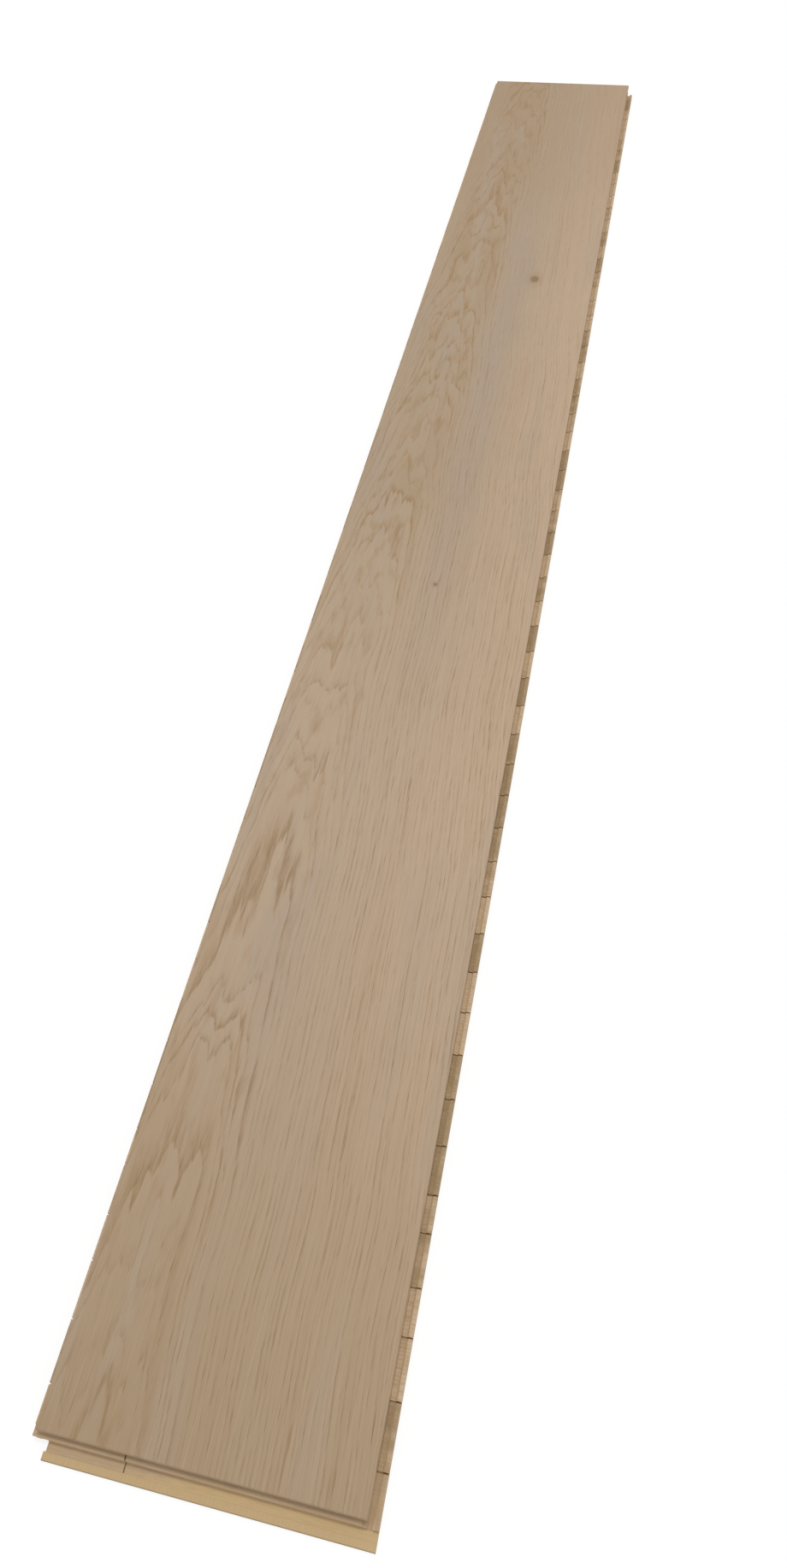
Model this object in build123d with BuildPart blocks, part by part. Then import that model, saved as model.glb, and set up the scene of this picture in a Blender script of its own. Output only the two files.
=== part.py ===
# Parquet floorboard, three layers, click edges on all four sides.
# X runs across the board, Y along it, Z up. The board lies flat on Z = 0.
from build123d import *
import os

os.makedirs("parts", exist_ok=True)

# overall size of the walking face
face_length = 1900.0
face_width = 220.0
board_thickness = 15.0

# layers, from the top down
wear_thickness = 3.5
backing_thickness = 1.5
edge_bevel = 0.5

# long joint: tongue on the left edge, groove and lip on the right edge
joint_clearance = 0.2
groove_top = 10.2
groove_floor = 6.0
groove_depth = 3.4
lip_reach = 7.1
floor_setback = 0.9
channel_setback = 0.3
channel_end = 3.0
channel_level = 2.8
ridge_start = 4.2
ridge_level = 5.0
lip_chamfer = 0.5
tongue_round = 0.8

# short joint: groove, ledge and flat lip at the near end, tongue at the far end
end_ledge_level = 7.4
end_ledge_reach = 2.8
end_lip_level = 1.8
end_strip_reach = 8.3
end_lip_reach = 13.2
end_tab_width = 1.6

# cross-laid core: the end strips, the first strips as sawn, and an even run beyond them
near_strip_width = 25.0
far_strip_width = 30.0
core_strip_gap = 1.0
first_gap_places = (63.0, 99.0, 128.5, 162.5, 187.5)
even_strip_count = 50
end_slit_place = 60.5
end_slit_width = 0.9

# levels and lengths that follow from the sizes above
core_top = board_thickness - wear_thickness
tongue_top = groove_top - joint_clearance
tongue_bottom = groove_floor + joint_clearance
tongue_reach = groove_depth - 2 * joint_clearance
recess_reach = lip_reach + joint_clearance
end_recess_reach = end_lip_reach + joint_clearance

# the frame's origin is under the middle of the whole board, lips and tongues included
overall_width = tongue_reach + face_width + lip_reach
overall_length = end_lip_reach + face_length + tongue_reach
face_left = tongue_reach - overall_width / 2
face_right = face_left + face_width
near_end = end_lip_reach - overall_length / 2
far_end = near_end + face_length

# the milled section that every core piece shares, as seen from the near end
right_edge = [
    (face_right, core_top),
    (face_right, groove_top),
    (face_right - groove_depth, groove_top),
    (face_right - groove_depth, groove_floor),
    (face_right - floor_setback, groove_floor),
    (face_right - channel_setback, channel_level),
    (face_right + channel_end, channel_level),
    (face_right + ridge_start, ridge_level),
    (face_right + lip_reach - lip_chamfer, ridge_level),
    (face_right + lip_reach, ridge_level - lip_chamfer),
    (face_right + lip_reach, backing_thickness),
]
left_edge = [
    (face_left + recess_reach, backing_thickness),
    (face_left + recess_reach, ridge_level + joint_clearance),
    (face_left + ridge_start - joint_clearance, ridge_level + joint_clearance),
    (face_left + channel_end - joint_clearance, channel_level + joint_clearance),
    (face_left - channel_setback + joint_clearance, channel_level + joint_clearance),
    (face_left - floor_setback + joint_clearance, tongue_bottom),
    (face_left - tongue_reach + tongue_round, tongue_bottom),
    (face_left - tongue_reach, tongue_bottom + tongue_round),
    (face_left - tongue_reach, tongue_top - tongue_round),
    (face_left - tongue_reach + tongue_round, tongue_top),
    (face_left, tongue_top),
    (face_left, core_top),
]
core_section = right_edge + left_edge


def clear_box(x_from, x_to, y_from, y_to, z_from, z_to):
    """Mill away the space between two corners from the open part."""
    middle = Location(((x_from + x_to) / 2, (y_from + y_to) / 2, (z_from + z_to) / 2))
    with Locations(middle):
        Box(x_to - x_from, y_to - y_from, z_to - z_from, mode=Mode.SUBTRACT)


# oak wear layer, with a fine bevel round the walking face
with BuildPart() as wear_layer:
    with BuildSketch(Plane.XY.offset(core_top)):
        with Locations(((face_left + face_right) / 2, (near_end + far_end) / 2)):
            Rectangle(face_width, face_length)
    extrude(amount=wear_thickness)
    chamfer(wear_layer.faces().sort_by(Axis.Z)[-1].edges(), edge_bevel)
wear_layer.part.label = "wear_layer"
export_step(wear_layer.part, "parts/wear_layer.step")

# softwood core: short strips laid across the board, with an open gap between each two
strips_start = near_end + near_strip_width + core_strip_gap
strips_end = far_end - far_strip_width - core_strip_gap
even_start = near_end + first_gap_places[-1]
even_end = strips_end + core_strip_gap / 2
even_pitch = (even_end - even_start) / even_strip_count
even_middle = (even_start + even_end - even_pitch) / 2
core_height = core_top - backing_thickness
core_level = backing_thickness + core_height / 2
with BuildPart() as core_strips:
    with BuildSketch(Plane.XZ.offset(-strips_end)):
        with BuildLine():
            Polyline(*core_section, close=True)
        make_face()
    extrude(amount=strips_end - strips_start)
    with Locations(*[(0, near_end + place, core_level) for place in first_gap_places[:-1]]):
        Box(overall_width, core_strip_gap, core_height, mode=Mode.SUBTRACT)
    with Locations((0, even_middle, core_level)):
        with GridLocations(overall_width, even_pitch, 1, even_strip_count):
            Box(overall_width, core_strip_gap, core_height, mode=Mode.SUBTRACT)
core_strips.part.label = "core_strips"
export_step(core_strips.part, "parts/core_strips.step")

# near end strip, milled to a groove, a narrow ledge and a flat lip, in two lengths
outer = overall_width
near_inner = near_end + near_strip_width
near_outer = near_end - end_strip_reach
slit_from = face_left + end_slit_place
slit_to = slit_from + end_slit_width


def mill_near_joint(x_from, x_to):
    """Mill the short joint into the open strip and keep one length of it."""
    clear_box(-outer, outer, near_outer, near_end - end_ledge_reach, end_lip_level, core_top)
    clear_box(-outer, outer, near_outer, near_end, end_ledge_level, core_top)
    clear_box(-outer, outer, near_outer, near_end + groove_depth, end_ledge_level, groove_top)
    clear_box(-outer, x_from, near_outer, near_inner, backing_thickness, core_top)
    clear_box(x_to, outer, near_outer, near_inner, backing_thickness, core_top)


with BuildPart() as near_end_strip_left:
    with BuildSketch(Plane.XZ.offset(-near_inner)):
        with BuildLine():
            Polyline(*core_section, close=True)
        make_face()
    extrude(amount=near_inner - near_outer)
    mill_near_joint(-overall_width / 2, slit_from)
near_end_strip_left.part.label = "near_end_strip_left"
export_step(near_end_strip_left.part, "parts/near_end_strip_left.step")

with BuildPart() as near_end_strip_right:
    with BuildSketch(Plane.XZ.offset(-near_inner)):
        with BuildLine():
            Polyline(*core_section, close=True)
        make_face()
    extrude(amount=near_inner - near_outer)
    mill_near_joint(slit_to, overall_width / 2)
near_end_strip_right.part.label = "near_end_strip_right"
export_step(near_end_strip_right.part, "parts/near_end_strip_right.step")

# far end strip, milled to a tongue with the underside cut back for the next board's lip
far_inner = far_end - far_strip_width
far_tip = far_end + tongue_reach
end_heel_level = end_lip_level + joint_clearance
end_step_level = end_ledge_level + joint_clearance
end_step = end_ledge_reach + joint_clearance
with BuildPart() as far_end_strip:
    with BuildSketch(Plane.XZ.offset(-far_tip)):
        with BuildLine():
            Polyline(*core_section, close=True)
        make_face()
    extrude(amount=far_tip - far_inner)
    clear_box(-outer, outer, far_end, far_tip, tongue_top, core_top)
    clear_box(-outer, face_left, far_end, far_tip, backing_thickness, core_top)
    clear_box(-outer, outer, far_end - end_step, far_tip, backing_thickness, end_step_level)
    clear_box(-outer, outer, far_end - end_recess_reach, far_tip, backing_thickness, end_heel_level)
    clear_box(
        face_right, outer, far_end - end_recess_reach, far_tip, backing_thickness, groove_floor
    )
far_end_strip.part.label = "far_end_strip"
export_step(far_end_strip.part, "parts/far_end_strip.step")

# backing veneer, out to both lips and back from both recesses, with a small tab at the near left corner
backing_left = face_left + recess_reach
backing_right = face_right + lip_reach
backing_near = near_end - end_lip_reach
backing_far = far_end - end_recess_reach
tab_length = end_lip_reach - end_strip_reach
with BuildPart() as backing_veneer:
    with BuildSketch(Plane.XY):
        with Locations((backing_left, backing_near)):
            Rectangle(
                backing_right - backing_left,
                backing_far - backing_near,
                align=(Align.MIN, Align.MIN),
            )
            Rectangle(end_tab_width, tab_length, align=(Align.MAX, Align.MIN))
    extrude(amount=backing_thickness)
backing_veneer.part.label = "backing_veneer"
export_step(backing_veneer.part, "parts/backing_veneer.step")
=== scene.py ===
# %% [markdown]
# # A three-layer oak floorboard with click edges
# The real board is glued up like a sandwich: a pale oiled oak layer on top, short
# softwood strips laid across the board under it, and a thin peeled veneer on the
# underside. Its four edges are milled so that boards snap together. The shapes could
# be modelled here, but a joint needs exact sizes, so the solids come ready made from a
# CAD model. This lesson dresses them: wood that is right from every side, a floor,
# light and a camera.

import math

import bpy
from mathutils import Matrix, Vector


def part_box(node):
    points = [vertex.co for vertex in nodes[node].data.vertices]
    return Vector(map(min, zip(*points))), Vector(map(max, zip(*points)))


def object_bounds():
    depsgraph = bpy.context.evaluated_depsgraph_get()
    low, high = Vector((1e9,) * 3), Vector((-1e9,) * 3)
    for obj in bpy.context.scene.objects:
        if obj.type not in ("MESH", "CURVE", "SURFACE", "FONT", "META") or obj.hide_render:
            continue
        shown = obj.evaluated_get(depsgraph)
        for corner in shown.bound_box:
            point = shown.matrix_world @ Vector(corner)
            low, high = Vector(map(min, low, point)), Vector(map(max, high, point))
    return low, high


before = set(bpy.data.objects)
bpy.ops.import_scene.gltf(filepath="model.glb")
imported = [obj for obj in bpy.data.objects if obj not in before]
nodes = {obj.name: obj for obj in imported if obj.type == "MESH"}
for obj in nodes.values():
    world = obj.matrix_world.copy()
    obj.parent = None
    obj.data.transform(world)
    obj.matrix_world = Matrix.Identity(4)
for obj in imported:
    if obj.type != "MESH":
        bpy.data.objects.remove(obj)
solid_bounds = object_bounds()
print("pieces:", sorted(nodes))

# %% [markdown]
# The oak layer gives every place on the board: its sides are the edges of the walking
# face. Patterns could be placed in metres from the middle of the scene, but a maker
# measures from an edge. So all the woods count in millimetres from the near left top
# corner of the face, and that corner is read from the solid.

# %% Measure the walking face
MM = 1000.0
oak_low, oak_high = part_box("wear_layer")
face_left, near_end, face_top = oak_low.x, oak_low.y, oak_high.z
face_width = (oak_high.x - oak_low.x) * MM
face_length = (oak_high.y - oak_low.y) * MM
board_thickness = (face_top - solid_bounds[0][2]) * MM
print(f"face {face_width:.1f} x {face_length:.1f} mm, board {board_thickness:.1f} mm thick")


# %% [markdown]
# The look of wood is a sum of many small patterns. Its Math nodes could be added one
# by one, but such a chain is hard to read. So a small class wraps a socket: patterns
# then add and multiply like numbers, and each sign adds the Math node that it stands
# for. The reflected forms let a plain number stand first, as in 1 - pattern.


# %% Sums on sockets
class Wire:
    """The output of a node, used like a number."""

    def __init__(self, surface, socket):
        self.surface = surface
        self.socket = socket

    def _math(self, operation, *values, clamp=False):
        settings = {"operation": operation, "use_clamp": clamp}
        return self.surface.add("ShaderNodeMath", settings, dict(enumerate(values)))

    def __add__(self, other):
        return self._math("ADD", self, other)

    def __sub__(self, other):
        return self._math("SUBTRACT", self, other)

    def __rsub__(self, other):
        return self._math("SUBTRACT", other, self)

    def __mul__(self, other):
        return self._math("MULTIPLY", self, other)

    def __truediv__(self, other):
        return self._math("DIVIDE", self, other)

    def __rtruediv__(self, other):
        return self._math("DIVIDE", other, self)

    def __pow__(self, other):
        return self._math("POWER", self, other)

    def __rpow__(self, other):
        return self._math("POWER", other, self)

    def __gt__(self, other):
        return self._math("GREATER_THAN", self, other)

    __radd__ = __add__
    __rmul__ = __mul__

    def root(self):
        return self._math("SQRT", self)

    def floor(self):
        return self._math("FLOOR", self)

    def fraction(self):
        return self._math("FRACT", self)

    def size(self):
        return self._math("ABSOLUTE", self)

    def clamp(self):
        return self._math("ADD", self, 0.0, clamp=True)


print("sums on sockets are ready")


# %% [markdown]
# Every surface here is one material with one shader. Its other nodes could each have
# their own few lines, but one method that takes a node's type, its settings and its
# sockets does for all of them, and the settings go first because some of them change
# which sockets a node has.


# %% One material, one method
class Surface:
    """A material with its shader, and the one method that adds nodes to it."""

    column_step, row_step, row_length = 220, 180, 24

    def __init__(self, name):
        self.material = bpy.data.materials.new(name)
        self.material.use_nodes = True
        self.tree = self.material.node_tree
        self.shader = self.tree.nodes["Principled BSDF"]
        self.count = 0

    def add(self, kind, settings=None, sockets=None, out=0):
        """Add a node: its settings first, then its values and links."""
        node = self.tree.nodes.new(kind)
        row, column = divmod(self.count, self.row_length)
        node.location = (-self.column_step * column, -self.row_step * row)
        self.count += 1
        for name, value in (settings or {}).items():
            setattr(node, name, value)
        for name, value in (sockets or {}).items():
            self.plug(value, node.inputs[name])
        return Wire(self, node.outputs[out])

    def plug(self, value, socket):
        """Link a wire, or write a plain value, into a socket."""
        if isinstance(value, Wire):
            self.tree.links.new(value.socket, socket)
        elif isinstance(value, tuple) and len(value) == 3 and socket.type == "RGBA":
            socket.default_value = (*value, 1.0)
        else:
            socket.default_value = value


print("surfaces are ready")


# %% [markdown]
# All the woods are made of the same few patterns, so these get names: a place in
# millimetres, soft noise, a dice for each ring or strip, and a soft step. Noise could
# be read from pictures of wood, but a pattern that is worked out has no seams and no
# end, and it goes right through the solid.


# %% Patterns through the solid
class Grain(Surface):
    """A surface whose patterns go right through the piece."""

    seed_step = (7.3, 3.1)

    def place(self):
        """Millimetres across, along and up from the near left top corner."""
        point = self.add("ShaderNodeTexCoord", out="Object")
        corner = (face_left, near_end, face_top)
        subtract, scale = {"operation": "SUBTRACT"}, {"operation": "SCALE"}
        moved = self.add("ShaderNodeVectorMath", subtract, {0: point, 1: corner})
        scaled = self.add("ShaderNodeVectorMath", scale, {0: moved, "Scale": MM})
        return [self.add("ShaderNodeSeparateXYZ", {}, {0: scaled}, out=axis) for axis in "XYZ"]

    def noise(self, x, y, z=None, detail=2.0, rough=0.5, seed=0.0):
        """Soft noise from -1 to 1 over two or three numbers; a seed moves it away."""
        point = {"X": x + seed * self.seed_step[0], "Y": y + seed * self.seed_step[1]}
        if z is not None:
            point["Z"] = z
        at = self.add("ShaderNodeCombineXYZ", {}, point)
        settings = {"noise_dimensions": "2D" if z is None else "3D"}
        sockets = {"Vector": at, "Scale": 1.0, "Detail": detail, "Roughness": rough}
        return self.add("ShaderNodeTexNoise", settings, sockets) * 2.0 - 1.0

    def drift(self, x, detail=1.0, seed=0.0):
        """Slow noise from -1 to 1 along one number."""
        sockets = {"W": x + seed, "Scale": 1.0, "Detail": detail}
        return self.add("ShaderNodeTexNoise", {"noise_dimensions": "1D"}, sockets) * 2.0 - 1.0

    def dice(self, number):
        """A number from 0 to 1 that is the same for equal whole numbers."""
        return self.add("ShaderNodeTexWhiteNoise", {"noise_dimensions": "1D"}, {"W": number})

    def ramp(self, value, start, end):
        """0 before start and 1 past end, with a soft step between."""
        sockets = {"Value": value, "From Min": start, "From Max": end}
        return self.add("ShaderNodeMapRange", {"interpolation_type": "SMOOTHSTEP"}, sockets)

    def facing(self, axis):
        """How far a face looks along an axis, from -1 to 1."""
        normal = self.add("ShaderNodeNewGeometry", out="Normal")
        return self.add("ShaderNodeSeparateXYZ", {}, {0: normal}, out=axis)

    def square_to(self, axis):
        """1 on the faces that look straight along an axis."""
        return self.ramp(self.facing(axis).size(), 0.5, 0.95)


print("patterns of wood are ready")


# %% [markdown]
# A maker stains and oils wood in thin coats, and each coat lets the one below show
# through. The colour could be one long sum, but a list of coats, each with its cover,
# reads like the work itself. The finish then plugs colour, roughness and height into
# the shader, because open pores are rough and low as well as dark.


# %% Coats and the finish
class Wood(Grain):
    """A wood: its patterns, with colours laid over one another."""

    def mix(self, cover, under, over):
        """Lay one colour over another, where cover is 1."""
        factor, first_colour, second_colour, mixed_colour = 0, 6, 7, 2  # the node's sockets
        sockets = {factor: cover, first_colour: under, second_colour: over}
        return self.add("ShaderNodeMix", {"data_type": "RGBA"}, sockets, out=mixed_colour)

    def coats(self, colour, *coats):
        """Lay colours over one another, each given as its cover and its colour."""
        for cover, over in coats:
            colour = self.mix(cover, colour, over)
        return colour

    def changes(self, value, colour, *stops):
        """A colour that changes where a value passes each start, end and colour."""
        steps = ((self.ramp(value, start, end), over) for start, end, over in stops)
        return self.coats(colour, *steps)

    def finish(self, colour, roughness, height, depth, shine):
        """Plug the patterns into the shader; depth is in metres."""
        self.plug(colour, self.shader.inputs["Base Color"])
        self.plug(roughness, self.shader.inputs["Roughness"])
        self.shader.inputs["Specular IOR Level"].default_value = shine
        relief = {"Strength": 1.0, "Distance": depth, "Height": height}
        self.plug(self.add("ShaderNodeBump", {}, relief), self.shader.inputs["Normal"])
        print(f"{self.material.name}: {len(self.tree.nodes)} nodes")


print("coats and finish are ready")

# %% [markdown]
# Oak grows in rings round its heart. A layer sawn beside the heart shows arches where
# the saw runs along a ring, and straight lines where it crosses the rings. This figure
# could be painted on the face alone, but then the edges wouldn't agree with it. So the
# oak is solid: rings round a wandering heart line below the left part of the board,
# which every face then cuts. Cubes in place of squares flatten each ring over the
# heart, which makes the arches broad. A trunk tapers, so the rings also climb toward
# the far end, and that is what makes arch follow arch.

# %% Distance from the heart
oak = Wood("oiled_oak")
across, along, up = oak.place()

heart_start = 31.0  # from the left edge of the face
heart_lean = 0.017  # to the right with each millimetre along
heart_sway, heart_sway_length = 9.0, 240.0
heart_depth = 37.0  # under the face
ring_power = 3.0  # 2 would make round rings
taper = 0.064  # climb with each millimetre along
taper_sway, taper_sway_length = 3.0, 170.0

heart_drift = oak.drift(along / heart_sway_length, seed=3.1)
heart_place = heart_start + along * heart_lean + heart_sway * heart_drift
side = across - heart_place
deep = up + heart_depth
reach = (side.size() ** ring_power + deep**ring_power) ** (1.0 / ring_power)
taper_drift = oak.drift(along / taper_sway_length, detail=2.0, seed=11.7)
climb = along * taper + taper_sway * taper_drift
print(f"heart line {heart_start} mm from the left edge, {heart_depth} mm deep")

# %% [markdown]
# Real rings waver, and in the arches their edges are toothed, because there the saw
# runs almost along them and each small wave shows. The straight grain and the arches
# could be two materials, but they are one piece of wood. So one mask tells them apart,
# and a short function gives each of the two its own value.

# %% Waver and teeth
arches_end, straight_start = 26.0, 50.0  # to either side of the heart line
arch_part = 1.0 - oak.ramp(side.size(), arches_end, straight_start)


def by_grain(straight, arched):
    """One value for the straight grain and one for the arches."""
    return straight + (arched - straight) * arch_part


waver = oak.noise(across / 17.0, along / 150.0, up / 30.0, seed=1.0) * by_grain(1.2, 5.4)
teeth = oak.noise(across / 4.6, along / 90.0, up / 9.0, detail=3.0, rough=0.62, seed=2.0)
teeth = teeth * by_grain(0.35, 1.4)
print("rings waver and have teeth")

# %% [markdown]
# A knot is a twig's root. The rings part round it like water round a post. A dark spot
# alone would look like a stain, so each knot here also pushes the rings away. The twig
# is cut a little aslant, which makes its spot longer than it is wide.

# %% Knots push the rings
knots = ((115.0, 756.0, 1.7), (142.0, 1322.0, 5.2))  # across, along, radius
knot_stretch = 1.35
knot_push, knot_push_reach = 0.8, 6.0  # both in radii
knot_mask = 0.0
push = 0.0
for knot_across, knot_along, knot_radius in knots:
    beside = across - knot_across
    beyond = (along - knot_along) / knot_stretch
    away = (beside * beside + beyond * beyond).root() / knot_radius
    core = 1.0 - oak.ramp(away, 0.55, 1.5)
    halo = 1.0 - oak.ramp(away, 0.6, 3.4)
    knot_mask = core * 0.75 + halo * 0.25 + knot_mask
    push = (1.0 - oak.ramp(away, 0.0, knot_push_reach)) * (knot_radius * knot_push) + push
print("knots:", len(knots))

# %% [markdown]
# All the pushes and waves add up to one number that grows by 1 from ring to ring. Good
# and lean years make rings wide and narrow, so this number drifts a little too. Its
# whole part names a ring and its fraction tells how far through the ring a point is.

# %% Count the rings
ring_gap = 3.7
year_sway, years_in_a_row = 0.6, 1.9

rings = (reach + climb + waver + teeth + push) / ring_gap
rings = rings + year_sway * oak.drift(rings / years_in_a_row, seed=7.0)
ring_number = rings.floor()
ring_part = rings.fraction()
print("ring gap:", ring_gap, "mm")

# %% [markdown]
# Each ring starts with a band of open pores, dark where it starts and fading into the
# ring. Even bands would look printed, so no two are alike here: some rings are strong
# and some nearly missing, and along one ring the dark comes and goes.

# %% Early wood
weakest_ring = 0.35
ring_force = weakest_ring + (1.0 - weakest_ring) * oak.dice(ring_number)
early = (1.0 - ring_part) ** by_grain(3.2, 4.4)
early = early * oak.ramp(ring_part, 0.0, by_grain(0.04, 0.1))
patches = oak.noise(across / 3.4, along / 70.0, detail=3.0, seed=5.0)
patches = oak.ramp(patches, by_grain(-0.25, -0.5), 0.4)
grit = oak.noise(across * 1.2, along / 15.0, detail=3.0, rough=0.6, seed=6.0)
grit = oak.ramp(grit, -0.45, 0.25)
early = early * ring_force * (0.25 + 0.75 * patches) * (0.45 + 0.55 * grit)
print("early wood set")

# %% [markdown]
# The pores are short dashes along the fibre, crowded in the early wood and rare
# elsewhere. They could be cut into the solid, but there are many thousands, each only
# a few tenths of a millimetre wide. So stretched noise draws them, and later it also
# lowers the surface a little. Between them run fibre lines, long and fine.

# %% Pores and fibres
pore_noise = oak.noise(across * 1.4, along / 18.0, up, rough=0.6, seed=9.0)
pores = oak.ramp(pore_noise, -0.1, 0.4) * (0.1 + 0.9 * oak.ramp(early, 0.02, 0.25))
stray_pores = oak.ramp(oak.noise(across * 1.1, along / 16.0, seed=11.0), 0.42, 0.62)
fibre_lines = oak.noise(across * 1.3, along / 150.0, up, detail=3.0, rough=0.7, seed=13.0)
fibre_lines = oak.ramp(fibre_lines, -0.05, 0.55)
fibres = oak.noise(across * 2.6, along / 28.0, up, seed=17.0)
print("pores and fibres set")


# %% [markdown]
# Colours of wood are easiest to judge by eye, as on a paint chart, where each part
# goes from 0 to 255. Blender works in amounts of light instead. The numbers could be
# typed in as light, but then nobody could compare them with a sample, so one function
# turns a chart's colour into light.


# %% Colours from a paint chart
def tone(red, green, blue):
    """A colour as a paint chart gives it, turned into light."""
    return tuple(
        part / 12.92 if part <= 0.04045 else ((part + 0.055) / 1.055) ** 2.4
        for part in (red / 255.0, green / 255.0, blue / 255.0)
    )


print("middle oak as light:", [round(part, 3) for part in tone(180, 158, 134)])

# %% [markdown]
# The colour under the grain isn't even either: the board is deeper in tone at its near
# end, and a little lighter and pinker on the right. One soft gradient would do for
# each side, but a few stops along the board follow these changes more closely. They
# stand for slow change only, so each is a few hundred millimetres long.

# %% Ground colour along the board
left = oak.changes(
    along,
    tone(158, 135, 106),
    (-150.0, 520.0, tone(180, 158, 134)),
    (560.0, 980.0, tone(171, 150, 125)),
    (1250.0, 1750.0, tone(166, 143, 116)),
)
right = oak.changes(
    along,
    tone(161, 138, 109),
    (-150.0, 520.0, tone(187, 163, 137)),
    (1250.0, 1850.0, tone(176, 151, 124)),
)
ground = oak.mix(oak.ramp(across, 60.0, 230.0), left, right)
print("ground colour set")

# %% [markdown]
# The oil greys the wood in long soft clouds, and a grey streak runs through the middle
# of the far half. Some rings are browner than their neighbours, the arches have golden
# brown smudges, and fine pale lines run along the board. One noise could stir all of
# them together, but here each is a thin coat of its own over the ground, so that it
# can be made weaker or stronger by itself.

# %% Clouds, smudges and the grey streak
cloud = oak.noise(across / 36.0, along / 260.0, seed=21.0)
grey_cloud = oak.ramp(cloud, 0.0, 0.45) * by_grain(0.3, 0.6)
brown_ring = oak.dice(ring_number + 40.0) * by_grain(0.15, 0.45) * oak.ramp(cloud, 0.25, -0.4)

smudge = oak.ramp(oak.noise(across / 9.0, along / 34.0, detail=3.0, seed=29.0), 0.0, 0.55)
smudge = smudge * arch_part * (0.28 + 0.14 * oak.ramp(along, 450.0, 900.0))

streak_place, streak_sway, streak_sway_length = 116.0, 8.0, 160.0
streak_drift = streak_sway * oak.drift(along / streak_sway_length, seed=5.3)
streak_side = across - streak_place - streak_drift
streak = 1.0 - oak.ramp(streak_side.size(), 4.0, 32.0)
streak = streak * oak.ramp(along, 450.0, 950.0) * (1.0 - oak.ramp(along, 1350.0, 1700.0))

pale_lines = oak.ramp(oak.noise(across * 0.8, along / 240.0, detail=3.0, seed=23.0), 0.0, 0.7)
ground = oak.coats(
    ground,
    (grey_cloud, tone(168, 150, 132)),
    (brown_ring, tone(158, 131, 98)),
    (smudge, tone(148, 118, 76)),
    (streak * 0.6, tone(167, 149, 133)),
    (pale_lines * by_grain(0.26, 0.2), tone(200, 174, 142)),
)
print("clouds, smudges and streak set")

# %% [markdown]
# Over the ground lies the grain itself. Toward the far end it fades, as it does on the
# real board, and its early wood turns from brown to gold. The sawn ends take more oil
# and are deeper in tone, and the same darker colour paints in the shade on them. Grain
# could be colour only, but pores catch the light too, so the same patterns make the
# surface rougher and lower.

# %% Grain over the ground
fade_start, fade_end, most_faded = 600.0, 1600.0, 0.55
fading = 1.0 - most_faded * oak.ramp(along, fade_start, fade_end) * (1.0 - arch_part)
arch_force = (0.4 + 0.4 * oak.ramp(along, 600.0, 1100.0)) * arch_part
early_colour = oak.changes(along, tone(138, 105, 62), (500.0, 1100.0, tone(152, 113, 58)))
oak_colour = oak.coats(
    ground,
    (fibre_lines * (by_grain(0.6, 0.24) * fading), tone(148, 121, 90)),
    ((fibres * 0.22 + 0.06).clamp(), tone(148, 122, 92)),
    (early * (0.75 * fading + arch_force), early_colour),
    (pores * 0.36 * fading, tone(130, 102, 64)),
    (stray_pores * 0.3 * fading, tone(126, 98, 64)),
    (knot_mask.clamp() * 0.7, tone(122, 91, 46)),
    # painted shade: the ends are darkened, partly for oiled end grain and partly for their
    # shade
    (oak.square_to("Y") * 0.5, tone(162, 136, 96)),
)
oak_height = fibres * 0.15 - pores * 0.8 - early * 0.3
oak_roughness = 0.55 + 0.1 * early + 0.12 * pores
oak.finish(oak_colour, oak_roughness, oak_height, depth=0.00015, shine=0.3)

# %% [markdown]
# The core is sawn softwood, laid across the board so that the board stays flat. Its
# strips could each have a material, but one that knows which strip it is on does for
# all. A strip's number is the count of the open gaps before it: the first few are
# where the maker left them, and from there on they are even.

# %% Number the core strips
first_gaps = (25.5, 63.0, 99.0, 128.5, 162.5, 187.5)
even_strips = 50
far_strip_width, core_gap = 30.0, 1.0
last_gap = face_length - far_strip_width - core_gap / 2.0
strip_pitch = (last_gap - first_gaps[-1]) / even_strips


def strip_number(across, along):
    """Count the gaps nearer than this place; across makes no difference here."""
    count = 0.0
    for gap in first_gaps[:-1]:
        count = (along > gap) + count
    past_first = (along - first_gaps[-1]) / strip_pitch
    return count + (past_first.floor() + 1.0) * (past_first > 0.0)


print(f"strips after the first six gaps are {strip_pitch:.2f} mm apart")

# %% [markdown]
# Cross-laid wood has long ring lines on the sides of a strip and arcs on its ends. It
# is made like the oak, with its own heart for each strip. The core and the end strips
# differ only in their colours and in how a piece is numbered, so one function makes
# both. Strips come from many boards, so each throws its dice for its tone, its late
# wood and its heart. The third throw is offset so that the first strips come out pale
# and dark in the real board's order.


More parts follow.
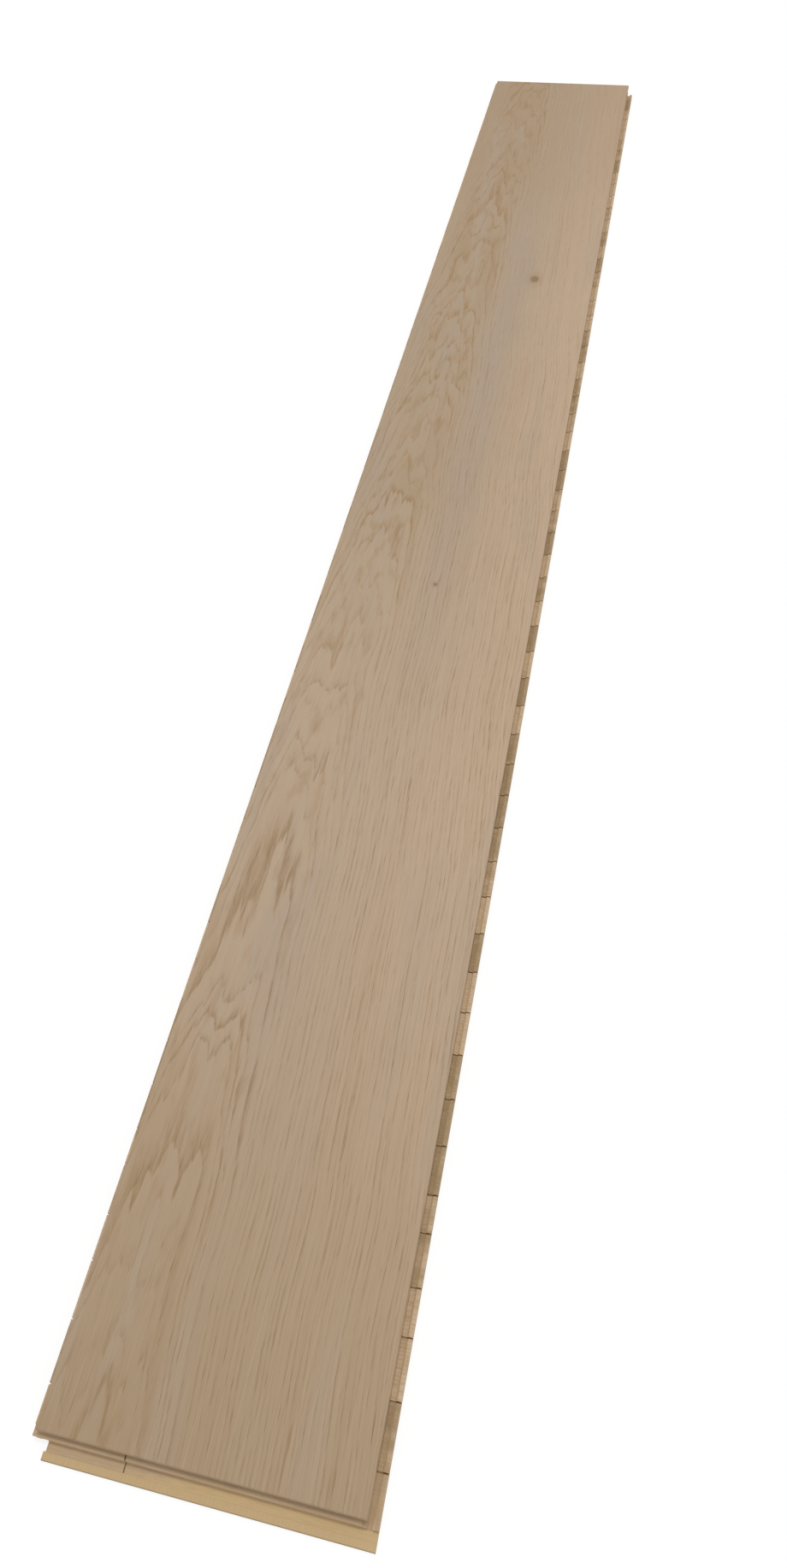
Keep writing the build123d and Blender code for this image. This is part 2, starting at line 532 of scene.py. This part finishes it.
# %% Wood with its fibres across the board
def make_cross_wood(name, tones, number_of, tint=None):
    """Cross-laid wood in pale, tan, yellow and late tones, with a sawn tone that also paints
    light or shade, and a painted highlight.
    """
    wood = Wood(name)
    across, along, up = wood.place()
    number = number_of(across, along)
    late_throw, heart_throw, tone_throw = (
        wood.dice(number + offset) for offset in (0.0, 31.7, 3336.5)
    )
    pitch, shift = 64.0, 13.7  # from heart to heart, and of the hearts from strip to strip
    side = ((along + number * shift) / pitch).fraction() * pitch - pitch / 2.0
    shallowest, spread = 8.0, 26.0
    deep = up + shallowest + spread * heart_throw
    wobble_height, ring_width = 0.9, 2.3
    wobble = wobble_height * wood.noise(across / 70.0, along / 9.0, up / 9.0, seed=1.5)
    part = (((side * side + deep * deep).root() + wobble) / ring_width).fraction()
    late_wood = wood.ramp(part, 0.3, 0.95) * (1.0 - wood.ramp(part, 0.95, 1.0))
    fibre = wood.noise(across / 11.0, along * 0.7, up * 0.7, detail=3.0, seed=4.5)
    cloud = wood.noise(across / 5.0, along / 7.0, up / 7.0, detail=3.0, seed=6.5)
    mottle = wood.noise(across / 30.0, along / 13.0, up / 10.0, detail=3.0, seed=7.5)
    colour = wood.coats(
        tones["pale"],
        (wood.ramp(tone_throw + 0.8 * mottle, 0.2, 0.85), tones["tan"]),
        ((cloud + 0.15).clamp() * 0.7, tones["yellow"]),
    )
    if tint is not None:
        colour = tint(wood, colour, across, along)
    # painted highlight: the mask picks the lip's flank that faces left and lies in shade
    highlight_mask = wood.ramp(wood.facing("X"), -0.5, -0.8) * wood.ramp(wood.facing("Z"), 0.1, 0.4)
    colour = wood.coats(
        colour,
        (late_wood * (0.06 + 0.2 * late_throw), tones["late"]),
        ((fibre * 0.4 + 0.08).clamp(), tones["late"]),
        # sawn faces: on the core, end grain a little darker and painted shade on the gap
        # walls; on the end strips, painted light on faces in shade
        (wood.square_to("X") * 0.25, tones["sawn"]),
        (wood.square_to("Y") * 0.15, tones["sawn"]),
        # painted highlight on the left-facing flank
        (highlight_mask * (across > face_width) * 0.8, tones["milled"]),
    )
    wood.finish(colour, 0.78 + 0.08 * fibre, fibre, depth=0.00004, shine=0.25)
    return wood.material


print("cross-laid wood is ready")

# %% [markdown]
# The softwood of the core is raw and a little weathered: pale strips, tan strips and
# yellow clouds in both. The sawn ends of its fibres are slightly darker, and the walls
# of its gaps are painted slightly darker as painted shade between the strips. The flank
# of the long lip, which faces left, gets a painted highlight that makes it paler. One
# flat colour would make the strips look moulded, so six tones share the work.

# %% Wood of the core
# a pale tone painted as a highlight on the flank that faces left
milled_tone = tone(236, 210, 174)
core_wood = make_cross_wood(
    "core_softwood",
    {
        "pale": tone(204, 180, 150),
        "tan": tone(166, 142, 110),
        "yellow": tone(190, 164, 120),
        "late": tone(140, 114, 80),
        # sawn ends, and painted shade on the walls of the gaps
        "sawn": tone(176, 148, 108),
        # painted highlight for the flank
        "milled": milled_tone,
    },
    strip_number,
)

# %% [markdown]
# The strips under the two short ends are a closer wood, more even in tone. Their sawn
# faces are painted lighter, a painted highlight that lifts the shade on them. The near
# one is in two lengths with an open slit between them. Its lip is milled down almost
# to the veneer. The lip is brown on the left and turns a lighter yellow toward the right.
# A hard edge between the two would look like paint, so noise frays it.

# %% Wood of the end strips
slit_place = 61.0  # across
between_ends = 500.0  # along, anywhere between the near strip and the far one
lip_end, ledge_start = -3.6, -2.4  # along, on both sides of the step between them
yellow_part_start, yellow_part_end, yellow_part_lean, yellow_part_fray = 96.0, 150.0, 7.0, 22.0


def end_strip_number(across, along):
    """A number of its own for each length of the near strip and for the far strip."""
    return (across > slit_place) * 3.0 + (along > between_ends) * 5.0 + 2.0


def lip_tint(wood, colour, across, along):
    """A lighter yellow over the right part of the near lip."""
    ragged = yellow_part_fray * wood.noise(across / 14.0, along / 3.0, detail=3.0, seed=3.3)
    yellow_part = wood.ramp(across + ragged - along * yellow_part_lean, yellow_part_start, yellow_part_end)
    lip = 1.0 - wood.ramp(along, lip_end, ledge_start)
    return wood.mix(yellow_part * lip, colour, tone(197, 171, 128))


end_wood = make_cross_wood(
    "end_strip_birch",
    {
        "pale": tone(183, 159, 131),
        "tan": tone(175, 151, 122),
        "yellow": tone(192, 164, 119),
        "late": tone(166, 139, 104),
        # lighter than the wood: painted light on sawn faces that lie in shade
        "sawn": tone(222, 192, 150),
        # painted highlight for the flank
        "milled": milled_tone,
    },
    end_strip_number,
    tint=lip_tint,
)

# %% [markdown]
# The underside is a peeled veneer. Peeling unrolls the trunk, so its figure is wide
# and wavy, its fibres run along the board, and the knife leaves fine checks in it. The
# rings of the oak could be used again, but they would give sharp arches, so the figure
# is a slow wave cut into bands. It is kept to the underside: on top, only the narrow
# near lip shows the veneer, and that is plain.

# %% Figure of the backing veneer
veneer = Wood("peeled_veneer")
across, along, up = veneer.place()
wave = veneer.noise(across / 60.0, along / 380.0, detail=3.0, seed=2.2)
figure = (across / 26.0 + wave * 2.6).fraction()
bands = veneer.ramp(figure, 0.45, 0.95) * (1.0 - veneer.ramp(figure, 0.95, 1.0))
veneer_fibre = veneer.noise(across * 1.2, along / 40.0, detail=3.0, seed=8.2)
checks = veneer.ramp(veneer.noise(across * 0.7, along / 55.0, seed=12.2), 0.52, 0.7)
underside = 1.0 - veneer.ramp(up, 0.5 - board_thickness, 1.2 - board_thickness)
print("veneer figure set")

# %% [markdown]
# The veneer's end faces are painted dark, a painted shade. A narrow rim behind the front
# one is darker too, and so is the dirt at the bottom of the slit in the end strip. The
# dirt could be a mesh of its own, but it has no thickness, so it is a coat like the
# others. It ends where the strip ends.

# %% Colour of the backing veneer
slit_half, slit_blur = 0.45, 0.3
strip_front, rim_start, rim_end = -8.3, -12.5, -13.1  # along the board
dirt = 1.0 - veneer.ramp((across - slit_place).size(), slit_half, slit_half + slit_blur)
dirt = dirt * (1.0 - underside) * (along > strip_front)
veneer_colour = veneer.coats(
    tone(193, 167, 126),
    (bands * underside * 0.45, tone(172, 140, 94)),
    ((veneer_fibre * 0.3 + 0.06).clamp(), tone(168, 140, 102)),
    (checks * underside * 0.4, tone(128, 98, 62)),
    # painted shade: faces that look along the board are darkened
    (veneer.square_to("Y"), tone(78, 58, 34)),
    (dirt * 0.85, tone(96, 74, 46)),
    (veneer.ramp(along, rim_start, rim_end) * 0.6, tone(120, 94, 56)),
)
veneer_height = veneer_fibre * 0.5 - checks * underside
veneer_roughness = 0.8 + 0.06 * veneer_fibre
veneer.finish(veneer_colour, veneer_roughness, veneer_height, depth=0.00015, shine=0.25)

# %% [markdown]
# Every solid comes with a plain material in its slot. A dressed copy could be laid
# over it, but the solid already has the right shape, so it stays as it is and only
# what fills its slot changes.

# %% Dress the pieces
finishes = {
    "wear_layer": oak.material,
    "core_strips": core_wood,
    "near_end_strip_left": end_wood,
    "near_end_strip_right": end_wood,
    "far_end_strip": end_wood,
    "backing_veneer": veneer.material,
}
for name, material in finishes.items():
    for slot in nodes[name].material_slots:
        slot.material = material
    print(name, "wears", material.name)

# %% [markdown]
# The board lies on a plain pale floor. Lit like the board, such a floor would look
# grey, and more light would bleach the oak. So the camera sees it as a blend of a lit
# floor and plain white: the white lifts it, and the lit part keeps the board's soft
# shadow. It lies a hair lower than the board, so that the two don't flicker.

# %% Floor
floor_size, floor_drop = 40.0, 0.0002
white_share, white_strength = 0.74, 1.08
bpy.ops.mesh.primitive_plane_add(size=floor_size, location=(0.0, 0.0, -floor_drop))
floor = bpy.context.object
floor.name = "floor"

paper = Surface("floor_paper")
paper.shader.inputs["Base Color"].default_value = (0.8, 0.8, 0.8, 1.0)
paper.shader.inputs["Roughness"].default_value = 0.9
glow = {"Color": (1.0, 1.0, 1.0), "Strength": white_strength}
white = paper.add("ShaderNodeEmission", {}, glow)
camera_rays = paper.add("ShaderNodeLightPath", out="Is Camera Ray")
lit = Wire(paper, paper.shader.outputs[0])
blend = paper.add("ShaderNodeMixShader", {}, {0: camera_rays * white_share, 1: lit, 2: white})
paper.plug(blend, paper.tree.nodes["Material Output"].inputs["Surface"])
floor.data.materials.append(paper.material)
print("floor down,", floor_size, "m wide")

# %% [markdown]
# Three quarters of the light come evenly from a white room, so that nothing is black.
# The rest is one soft light from almost straight above, a little from the far end and
# from the right. Even light alone would flatten the milled edge. With the soft light,
# the board's near end shades the ledge, and the ledge shades the lip, which draws each
# step. Together they make white paper just white, so colours come out about as they
# are written.

# %% Light
key_energy, key_softness = 0.84, 9.0
key_tilt, key_lean = -12.0, 3.0
room_strength = 0.78

key_data = bpy.data.lights.new("soft_key", "SUN")
key_data.energy = key_energy
key_data.angle = math.radians(key_softness)
key = bpy.data.objects.new("soft_key", key_data)
key.rotation_euler = (math.radians(key_tilt), math.radians(key_lean), 0.0)
bpy.context.scene.collection.objects.link(key)

room = bpy.data.worlds.new("white_room")
room.use_nodes = True
room_light = room.node_tree.nodes["Background"].inputs
room_light["Color"].default_value = (1.0, 1.0, 1.0, 1.0)
room_light["Strength"].default_value = room_strength
bpy.context.scene.world = room
bpy.context.scene.view_settings.view_transform = "Standard"
print("key light", -key_tilt, "degrees off upright, room at", room_strength)

# %% [markdown]
# The camera stands over the near end and looks along the board, tipped down and a
# little turned. It could be aimed by eye, but its place, turn and lens were worked out
# from the board's corners, so they are kept to the last digit. A lens shift, in place
# of more tilt, keeps the long board inside the upright picture.

# %% Camera
camera_place = (0.20935, -1.02829, 0.97335)
camera_turn = (45.3768, 3.8843, 12.3991)

lens = bpy.data.cameras.new("camera")
lens.sensor_fit = "VERTICAL"
lens.sensor_height = 36.0
lens.lens = 28.306
lens.shift_y = -0.1728
lens.clip_start = 0.01
camera = bpy.data.objects.new("camera", lens)
camera.location = camera_place
camera.rotation_euler = [math.radians(turn) for turn in camera_turn]
bpy.context.scene.collection.objects.link(camera)
bpy.context.scene.camera = camera
print("camera at", tuple(round(c, 3) for c in camera.location))
